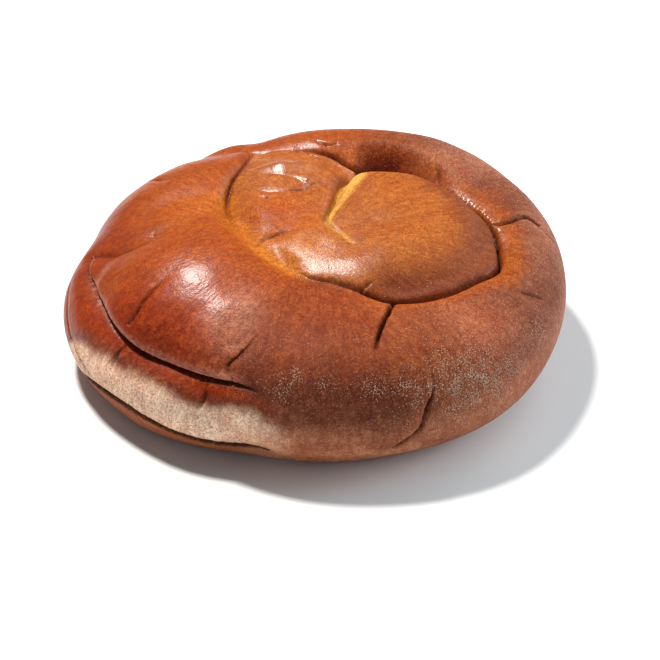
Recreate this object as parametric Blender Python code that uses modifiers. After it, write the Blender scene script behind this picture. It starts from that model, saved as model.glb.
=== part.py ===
"""Round challah: one coiled, egg washed loaf, baked as a single solid of bread.

Drawn in millimetres with +Z up, x across the loaf and y away from the viewer, then scaled to
metres and moved so that the origin is under the middle of the outline, on the flat base. The
coil is laid out as ropes of dough with an oval section, the risen middle as mounds, and the
seams, folds and cracks as grooves pressed into the crust along named lines.
"""
import bpy
import bmesh
import math
import numpy as np
from mathutils import Vector
from mathutils.bvhtree import BVHTree

MM = 0.001
OUTLINE_MIDDLE = (0.5, 10.0)   # middle of the loaf's outline in the drawing, mm
VOXEL = 1.8            # size of the grid the dough is fused on
SMOOTHING = 24         # passes that round the fused dough before the folds are pressed in
TRIANGLES = 9600       # faces kept in the finished solid
SINK = 1.0             # how far the dough is let below the board before the base is cut flat
AROUND = 40            # points around each rope section
STEPS = 5              # sections between two rows of a rope

# Ropes of dough. Each row: x, y, z of the middle, half width, half height.
OUTER_RING = [
    (-62, -20, 33, 38, 32), (-48, -30, 33, 42, 32), (-28, -45, 32, 42, 32), (0, -57, 32, 38, 32),
    (30, -58, 32, 35, 32), (56, -46, 32, 33, 30), (74, -24, 32, 30, 28), (84, 4, 33, 27, 27),
    (85, 32, 35, 25, 27), (73, 58, 36, 25, 28), (53, 78, 36, 27, 29), (27, 88, 36, 27, 29),
    (-2, 87, 36, 26, 29), (-26, 82, 36, 24, 27)]
TUCKED_TAIL = [
    (0, -60, 14, 14, 14), (-22, -59, 17, 20, 18), (-46, -50, 18, 25, 20), (-68, -35, 19, 25, 22),
    (-83, -16, 22, 24, 23), (-87, 6, 25, 24, 25), (-77, 24, 30, 31, 28), (-64, 40, 32, 38, 31),
    (-46, 56, 34, 38, 31), (-26, 71, 35, 30, 28)]
FOOT = [
    (46, -46, 12, 18, 12), (62, -22, 12, 18, 12), (67, 8, 12, 18, 12), (60, 38, 12, 18, 12),
    (40, 62, 12, 18, 12)]
FAR_TIP = [(-66, 68, 40, 8, 10), (-56, 79, 43, 10, 10), (-42, 88, 46, 10, 9), (-28, 93, 48, 9, 8)]

# Risen dough between the ropes. Each: middle, radii, fullness (2 is an ellipsoid).
MOUNDS = [
    ((8, 5, 22), (84, 80, 37), 2.4),       # body of the loaf
    ((-44, 14, 24), (52, 52, 41), 2.4),    # left shoulder
    ((18, 24, 32), (64, 62, 36), 2.4),     # middle of the coil
    ((41, 14, 40), (40, 46, 32), 2.3)]     # knob at the end of the coil

# Folds of the crust, drawn on it from above as x, y or on its wall as bearing in degrees and
# height. Each: view, points, groove depths along it, groove reach on its left and right,
# depths of the slit at its bottom, slit half width.
FOLDS = {
    "coil seam, front": (
        "above", [(79, 5), (78, -8), (74, -18), (65, -22), (53, -28), (43, -30), (32, -33),
                  (23, -29), (12, -26), (2, -21), (-11, -13)],
        (9, 9, 10, 10, 10, 9, 8, 6.5, 5, 4, 3.5), 4, 8, (3, 3, 3, 3, 3, 3, 2, 1, 0.5, 0, 0), 2.2),
    "coil seam, right": (
        "above", [(52, 65), (57, 58), (64, 49), (71, 37), (75, 28), (78, 16), (79, 5)],
        (8, 8, 9, 8, 7, 7, 9), 8, 4, (2, 2, 2, 2, 2, 2, 3), 2.2),
    "coil seam, left": (
        "above", [(-11, -13), (-18, -8), (-25, -2), (-32, 9), (-39, 26), (-40, 41), (-34, 58),
                  (-30, 77)],
        (3.5, 4, 4.5, 6, 7, 7, 6, 3), 8, 6, (0, 0, 0.5, 1, 1.5, 2, 2, 1), 2.2),
    "coil seam, back": (
        "above", [(-30, 77), (-17, 79), (-8, 80), (4, 80), (15, 78), (21, 76), (29, 76), (36, 72),
                  (43, 71), (52, 65)],
        (3, 2, 1.5, 1.5, 4, 7, 10, 10, 9, 8), 6, 6, (1, 0, 1, 1, 2, 2, 2, 2, 2, 2), 2.2),
    "stretched dough beside the knob": (
        "above", [(19, 52), (11, 45), (9, 35), (6, 19), (4, 8), (6, 1), (13, -5)],
        (5, 5, 4.5, 4, 3, 1.5, 0.6), 5, 7, (1, 1, 1, 1, 1, 0.5, 0), 1.8),
    "fold in the left lobe": (
        "above", [(-25, -2), (-22, 4), (-17, 6), (-11, 5)],
        (2, 3, 3, 1.5), 5, 4, (0.5, 1, 1, 0), 1.6),
    "wrinkle in the left lobe": (
        "above", [(-27, 48), (-16, 44), (-6, 41), (3, 40)],
        (1, 1.5, 1.5, 0.8), 4, 3, (0.3, 0.5, 0.5, 0), 1.6),
    "back crack": (
        "above", [(-10, 78), (-5, 76), (-3, 78), (4, 75)],
        (0.6, 1, 1, 0.6), 2, 2, (0.5, 1, 1, 0.5), 2),
    "fold over the back ring": (
        "above", [(-25, -3), (-39, 1), (-55, 5), (-66, 7), (-80, 11), (-92, 14), (-98, 16)],
        (2.5, 4, 4.5, 4.5, 4.5, 5, 5), 7, 8, (0, 0, 0, 0, 0, 0, 0.5), 1.6),
    "front crack": (
        "above", [(32, -44), (27, -60), (25, -71), (24, -76)],
        (2, 1.5, 1.2, 0.5), 3, 3, (3, 3, 2, 1), 1.5),
    "ring crack": (
        "above", [(78, 19), (84, 20), (92, 26), (98, 24)],
        (0.5, 1.5, 1.5, 0.8), 3, 3, (1, 2, 2, 1), 1.5),
    "left crease of the front lobe": (
        "above", [(-64, -35), (-72, -40), (-75, -44), (-77, -47)],
        (0.5, 1.5, 2, 0.8), 4, 2.5, (0, 1, 1.5, 0.5), 1.5),
    "gap under the front lobe": (
        "wall", [(171, 47), (177, 44), (184, 43), (192, 46), (205, 49), (214, 48), (228, 47),
                 (241, 47), (254, 45)],
        (4, 4, 4, 4, 4, 4, 4, 3, 1), 5, 4, (1, 2, 4, 5, 5, 5, 5, 5, 2), 1.7),
    "tail split near the base": (
        "wall", [(199, 16), (207, 18), (216, 17), (230, 13), (242, 11), (250, 14), (257, 17)],
        (1, 1.5, 2, 2, 2, 2, 1), 4, 4, (1, 3, 3, 3, 3, 3, 1), 1.6),
    "right crease of the front lobe": (
        "wall", [(250, 57), (249, 55), (246, 51), (247, 48)],
        (0.5, 1.5, 2, 1.5), 3, 2.5, (0, 1, 2, 2), 1.5),
    "right wall crack": (
        "wall", [(303, 54), (302, 45), (300, 39), (298, 35), (297, 28)],
        (0.5, 1.5, 1.5, 1.5, 0.5), 4, 3, (0.3, 0.8, 2, 2, 1), 1.5),
    "low right crack": (
        "wall", [(295, 27), (291, 20)],
        (1, 0.5), 2, 2, (1.5, 1), 1.5),
    "right dimple": (
        "wall", [(341, 55), (344, 51), (346, 48)],
        (0.4, 1.5, 1), 4, 3, (0, 1, 1), 1.5),
}


def clear_scene():
    for item in list(bpy.data.objects):
        bpy.data.objects.remove(item)


def curve_through(points, steps):
    """Smooth curve through the points, with the given steps between two of them."""
    rows = np.array(points, float)
    rows = np.vstack([2 * rows[0] - rows[1], rows, 2 * rows[-1] - rows[-2]])
    out = []
    for i in range(1, len(rows) - 2):
        a, b, c, d = rows[i - 1:i + 3]
        for t in np.linspace(0, 1, steps, endpoint=False):
            out.append(0.5 * (2 * b + (c - a) * t + (2 * a - 5 * b + 4 * c - d) * t * t
                              + (3 * b - a - 3 * c + d) * t ** 3))
    out.append(rows[-2])
    return np.array(out)


def rounded_end(last, before):
    """Sections that close a rope with a rounded end beyond its last row."""
    ahead = last[:3] - before[:3]
    ahead[2] = 0
    ahead /= np.linalg.norm(ahead)
    out = []
    for angle in np.radians([18, 36, 52, 66, 78, 86]):
        middle = last[:3] + ahead * last[3] * math.sin(angle)
        out.append(np.concatenate([middle, last[3:] * math.cos(angle)]))
    return out


def add_rope(bm, rows, on_board=True):
    """One rope of dough with an oval section; on the board its lower half reaches below it."""
    path = curve_through(rows, STEPS)
    path = np.vstack([rounded_end(path[0], path[1])[::-1], path, rounded_end(path[-1], path[-2])])
    along = np.gradient(path[:, :2], axis=0)
    along /= np.linalg.norm(along, axis=1)[:, None]
    sections = []
    for (x, y, z, wide, high), (ax, ay) in zip(path, along):
        deep = high * (z + SINK) / z if on_board else high
        section = []
        for k in range(AROUND):
            turn = 2 * math.pi * k / AROUND
            across = wide * math.cos(turn)
            rise = math.sin(turn) * (high if k < AROUND / 2 else deep)
            section.append(bm.verts.new(Vector((x - ay * across, y + ax * across, z + rise))))
        sections.append(section)
    for one, two in zip(sections, sections[1:]):
        for k in range(AROUND):
            n = (k + 1) % AROUND
            bm.faces.new((one[k], one[n], two[n], two[k]))
    bm.faces.new(sections[0])
    bm.faces.new(sections[-1][::-1])


def add_mound(bm, middle, radii, fullness):
    """A rounded mound of dough, fuller than an ellipsoid when fullness is over 2."""
    made = bmesh.ops.create_uvsphere(bm, u_segments=64, v_segments=32, radius=1)
    for vert in made["verts"]:
        for axis in range(3):
            value = vert.co[axis]
            value = math.copysign(abs(value) ** (2 / fullness), value)
            vert.co[axis] = middle[axis] + radii[axis] * value


def fused_dough():
    """The ropes and mounds fused into one rounded skin, as an object."""
    bm = bmesh.new()
    add_rope(bm, OUTER_RING)
    add_rope(bm, TUCKED_TAIL)
    add_rope(bm, FOOT)
    add_rope(bm, FAR_TIP, on_board=False)
    for middle, radii, fullness in MOUNDS:
        add_mound(bm, middle, radii, fullness)
    bmesh.ops.recalc_face_normals(bm, faces=bm.faces)
    mesh = bpy.data.meshes.new("challah_loaf")
    bm.to_mesh(mesh)
    bm.free()
    loaf = bpy.data.objects.new("challah_loaf", mesh)
    bpy.context.scene.collection.objects.link(loaf)
    fuse = loaf.modifiers.new("fuse", "REMESH")
    fuse.mode = "VOXEL"
    fuse.voxel_size = VOXEL
    smooth = loaf.modifiers.new("smooth", "SMOOTH")
    smooth.factor = 0.5
    smooth.iterations = SMOOTHING
    apply_modifiers(loaf)
    return loaf


def apply_modifiers(loaf):
    """Replace the mesh of the loaf with what its modifiers make of it."""
    bpy.context.view_layer.update()
    graph = bpy.context.evaluated_depsgraph_get()
    done = bpy.data.meshes.new_from_object(loaf.evaluated_get(graph))
    loaf.modifiers.clear()
    loaf.data = done


def laid_on_crust(skin, view, points):
    """The points of a fold on the dough, where a line from above or from outside meets it."""
    out = []
    for one, two in points:
        if view == "above":
            start, ahead = Vector((one, two, 200)), Vector((0, 0, -1))
        else:
            bearing = math.radians(one)
            ahead = Vector((-math.cos(bearing), -math.sin(bearing), 0))
            start = Vector((0, 0, two)) - 200 * ahead
        out.append(tuple(skin.ray_cast(start, ahead)[0]))
    return curve_through(out, 4)


def along_line(spots, outward, line):
    """Distance of each spot from the line, how far along it lies, and on which side."""
    distance = np.full(len(spots), 1e9)
    progress = np.zeros(len(spots))
    side = np.zeros(len(spots))
    steps = np.diff(line, axis=0)
    lengths = np.linalg.norm(steps, axis=1)
    starts = np.concatenate([[0], np.cumsum(lengths)])
    for start, step, length, before in zip(line, steps, lengths, starts):
        share = np.clip((spots - start) @ step / length ** 2, 0, 1)
        offset = spots - start - share[:, None] * step
        reach = np.linalg.norm(offset, axis=1)
        nearer = reach < distance
        turned = np.cross(np.broadcast_to(step, offset.shape), offset)
        distance[nearer] = reach[nearer]
        progress[nearer] = (before + share[nearer] * length) / starts[-1]
        side[nearer] = np.sum(turned * outward, axis=1)[nearer]
    return distance, progress, side


def press_folds(loaf):
    """Press the seams, folds and cracks into the crust: down from above, inward on the wall."""
    mesh = loaf.data
    count = len(mesh.vertices)
    spots = np.empty(count * 3)
    mesh.vertices.foreach_get("co", spots)
    spots = spots.reshape(-1, 3)
    skin = BVHTree.FromPolygons([vert.co for vert in mesh.vertices],
                                [face.vertices for face in mesh.polygons])
    up = np.tile([0.0, 0.0, 1.0], (count, 1))
    out = spots * (1, 1, 0)
    out /= np.maximum(np.linalg.norm(out, axis=1), 1e-9)[:, None]
    outward = {"above": up, "wall": out}
    depth = {"above": np.zeros(count), "wall": np.zeros(count)}
    for view, points, grooves, left, right, slits, slit_width in FOLDS.values():
        line = laid_on_crust(skin, view, points)
        distance, progress, side = along_line(spots, outward[view], line)
        groove = np.interp(progress, np.linspace(0, 1, len(grooves)), grooves)
        slit = np.interp(progress, np.linspace(0, 1, len(slits)), slits)
        reach = np.where(side > 0, left, right)
        depth[view] = np.maximum(depth[view], groove * np.exp(-distance / reach))
        depth[view] += slit * np.exp(-(distance / slit_width) ** 2)
    for view in depth:
        spots = spots - outward[view] * depth[view][:, None]
    spots = (spots - (OUTLINE_MIDDLE[0], OUTLINE_MIDDLE[1], 0)) * MM
    mesh.vertices.foreach_set("co", spots.ravel())
    mesh.update()


def lighten(loaf):
    """Keep the named number of triangles."""
    faces = sum(len(face.vertices) - 2 for face in loaf.data.polygons)
    fewer = loaf.modifiers.new("fewer", "DECIMATE")
    fewer.ratio = TRIANGLES / faces
    fewer.use_collapse_triangulate = True
    apply_modifiers(loaf)


def cut_base(loaf):
    """Cut the loaf flat where it rests and close the base."""
    bm = bmesh.new()
    bm.from_mesh(loaf.data)
    everything = bm.verts[:] + bm.edges[:] + bm.faces[:]
    bmesh.ops.bisect_plane(bm, geom=everything, dist=1e-6, plane_co=(0, 0, 0), plane_no=(0, 0, 1),
                           clear_inner=True)
    rim = [edge for edge in bm.edges if edge.is_boundary]
    bmesh.ops.holes_fill(bm, edges=rim, sides=0)
    bmesh.ops.triangulate(bm, faces=bm.faces, ngon_method="BEAUTY")
    bmesh.ops.recalc_face_normals(bm, faces=bm.faces)
    bm.to_mesh(loaf.data)
    bm.free()


def crust_material():
    crust = bpy.data.materials.new("egg_washed_crust")
    crust.use_nodes = True
    shader = crust.node_tree.nodes["Principled BSDF"]
    shader.inputs["Base Color"].default_value = (0.36, 0.105, 0.025, 1)
    shader.inputs["Roughness"].default_value = 0.35
    shader.inputs["Metallic"].default_value = 0.0
    return crust


def build():
    clear_scene()
    loaf = fused_dough()
    press_folds(loaf)
    lighten(loaf)
    cut_base(loaf)
    loaf.data.materials.clear()
    loaf.data.materials.append(crust_material())
    for face in loaf.data.polygons:
        face.use_smooth = True
    bread = bpy.data.collections.new("round_challah")
    bpy.context.scene.collection.children.link(bread)
    for owner in list(loaf.users_collection):
        owner.objects.unlink(loaf)
    bread.objects.link(loaf)


build()
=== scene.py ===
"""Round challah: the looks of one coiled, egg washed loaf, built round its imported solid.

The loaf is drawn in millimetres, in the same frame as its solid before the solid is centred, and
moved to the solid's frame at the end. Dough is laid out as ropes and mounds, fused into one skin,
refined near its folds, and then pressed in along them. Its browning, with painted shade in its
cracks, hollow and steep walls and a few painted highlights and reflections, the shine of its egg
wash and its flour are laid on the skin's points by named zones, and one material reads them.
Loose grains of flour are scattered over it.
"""
import math
import bmesh
import bpy
import numpy as np
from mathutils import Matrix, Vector, noise
from mathutils.bvhtree import BVHTree


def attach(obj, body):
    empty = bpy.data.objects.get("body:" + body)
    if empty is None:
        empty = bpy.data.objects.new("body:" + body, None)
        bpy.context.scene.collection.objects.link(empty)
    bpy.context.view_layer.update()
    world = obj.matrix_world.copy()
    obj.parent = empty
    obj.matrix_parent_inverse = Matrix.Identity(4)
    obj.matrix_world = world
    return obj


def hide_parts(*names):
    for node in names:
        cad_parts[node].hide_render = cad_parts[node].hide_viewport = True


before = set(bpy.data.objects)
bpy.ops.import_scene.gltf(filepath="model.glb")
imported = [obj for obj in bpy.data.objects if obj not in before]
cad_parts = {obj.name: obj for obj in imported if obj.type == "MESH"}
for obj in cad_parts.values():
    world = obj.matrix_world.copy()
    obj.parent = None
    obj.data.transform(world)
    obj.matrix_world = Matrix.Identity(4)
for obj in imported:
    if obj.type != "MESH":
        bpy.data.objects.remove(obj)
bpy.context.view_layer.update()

MM = 0.001
OUTLINE_MIDDLE = (0.5, 10.0)   # middle of the loaf's outline in the drawing, mm
VOXEL = 1.7            # size of the grid the dough is fused on
SMOOTHING = 14         # passes that round the fused dough before the folds are pressed in
SINK = 1.0             # how far the dough is let below the board before the base is cut flat
SMOOTHING_SHARE = 0.5  # how far each pass moves a point
AROUND = 40            # points around each rope section
STEPS = 5              # sections between two rows of a rope
END_ANGLES = (18, 36, 52, 66, 78, 86)    # sections that round a rope's end, degrees
MOUND_POINTS = (64, 32)                  # points around a mound, and from top to bottom
FAR_AWAY = 1e3         # mm, farther than anything on the loaf
TINY = 1e-9            # keeps a division by a length from failing

# Ropes of dough. Each row: x, y, z of the middle, half width, half height.
OUTER_RING = [
    (-62, -4, 33, 39, 27), (-46, -14, 32, 44, 30), (-26, -28, 29, 48, 33), (0, -41, 27, 49, 32),
    (29, -46, 28, 43, 30), (53, -40, 29, 36.5, 29), (71, -21, 30, 32, 29), (83, 5, 32, 27.5, 28),
    (84, 32, 35, 24.5, 26.4), (72.5, 58, 36, 25, 26.6), (53, 78, 36, 27, 29), (27, 88, 36, 27, 29),
    (-2, 87, 36, 26, 29), (-26, 82, 35, 24, 26.5)]
TUCKED_TAIL = [
    (0, -60, 14, 14, 14), (-22, -60, 19, 20, 19), (-46, -50, 21, 25.5, 22), (-67, -35, 21, 25, 23),
    (-83, -16, 22, 23.5, 23), (-89, 5, 24, 23.4, 25.4), (-77.5, 23, 29, 30.4, 28.2),
    (-64, 40, 32, 37, 31), (-46, 56, 34, 38, 31), (-26, 71, 35, 30, 28)]
FOOT = [
    (-89, -8, 9, 12, 9), (-82, -28, 9, 12.5, 9), (-69, -45, 9, 12.2, 9), (-51, -56, 9, 12, 9),
    (-28, -60, 10, 15, 10), (0, -66, 12, 15.4, 12), (24, -61, 13, 19, 13), (46, -49, 13, 22, 13),
    (62, -25, 12, 19, 12), (66, 8, 12, 18, 12), (60, 38, 12, 18, 12), (40, 62, 12, 18, 12)]
FAR_TIP = [(-56, 75, 47, 6, 8), (-48, 82, 49, 8, 9), (-37, 88, 50, 9, 9), (-25, 91, 50, 8, 8)]

# Risen dough between the ropes. Each: middle, radii, fullness (2 is an ellipsoid).
MOUNDS = [
    ((8, 5, 22), (84, 80, 33), 2.4),         # body of the loaf
    ((-44, 14, 24), (52, 52, 41), 2.4),      # left shoulder
    ((11, 9, 42), (47, 40, 25), 2.4),        # front of the coil
    ((-12, 40, 38), (31, 46, 30.5), 2.8),    # left lobe of the coil
    ((-44, -7, 26), (56, 56, 42), 2.0)]      # front left lobe

# Knob at the end of the coil. Each row: x, y, z of its shoulder, of the foot of its wall, and how
# full the wall is: 1 is straight below its shoulder, 2 round.
KNOB = [
    (3, -12, 64.4, -9, -25.5, 58.3, 1.05), (14, -16, 65, 11, -32.5, 57.5, 1.1),
    (26, -12, 66.3, 22, -33.5, 54.5, 1.35), (37, -5, 67.2, 35, -35, 48, 1.55),
    (47, 2, 67.5, 53, -32, 47, 1.55), (56, 9, 67.5, 72, -19, 48, 1.55),
    (62, 17, 68, 80, 5, 50, 1.55), (60, 26, 68.5, 75, 25, 52, 1.55),
    (52, 36, 69, 61, 46, 52, 1.55), (42, 44, 69.5, 46, 60, 50, 1.55),
    (32, 47, 69.5, 28, 61, 50, 1.55), (24, 46, 69.3, 17.5, 57, 60, 1.55),
    (21, 39, 69, 11, 45, 60, 1.55), (15.7, 27, 68.8, 8.5, 33, 60, 1.55),
    (11, 17, 68.5, 4.5, 18, 60.5, 1.55), (7.5, 8, 67.5, 2, 8, 61, 1.4),
    (3, -3, 65.8, -12, -13, 60, 1.05)]
KNOB_CROWN = 1.0       # how far the middle of its top rises above its shoulder
KNOB_STEPS = 4         # points between two rows of its outline
KNOB_TOP_RINGS = (0.45, 0.75, 0.93)      # rings of its top, as shares of the way to its shoulder
KNOB_WALL_RINGS = 9
KNOB_SUNK = 20         # height of its underside, inside the dough
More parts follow.
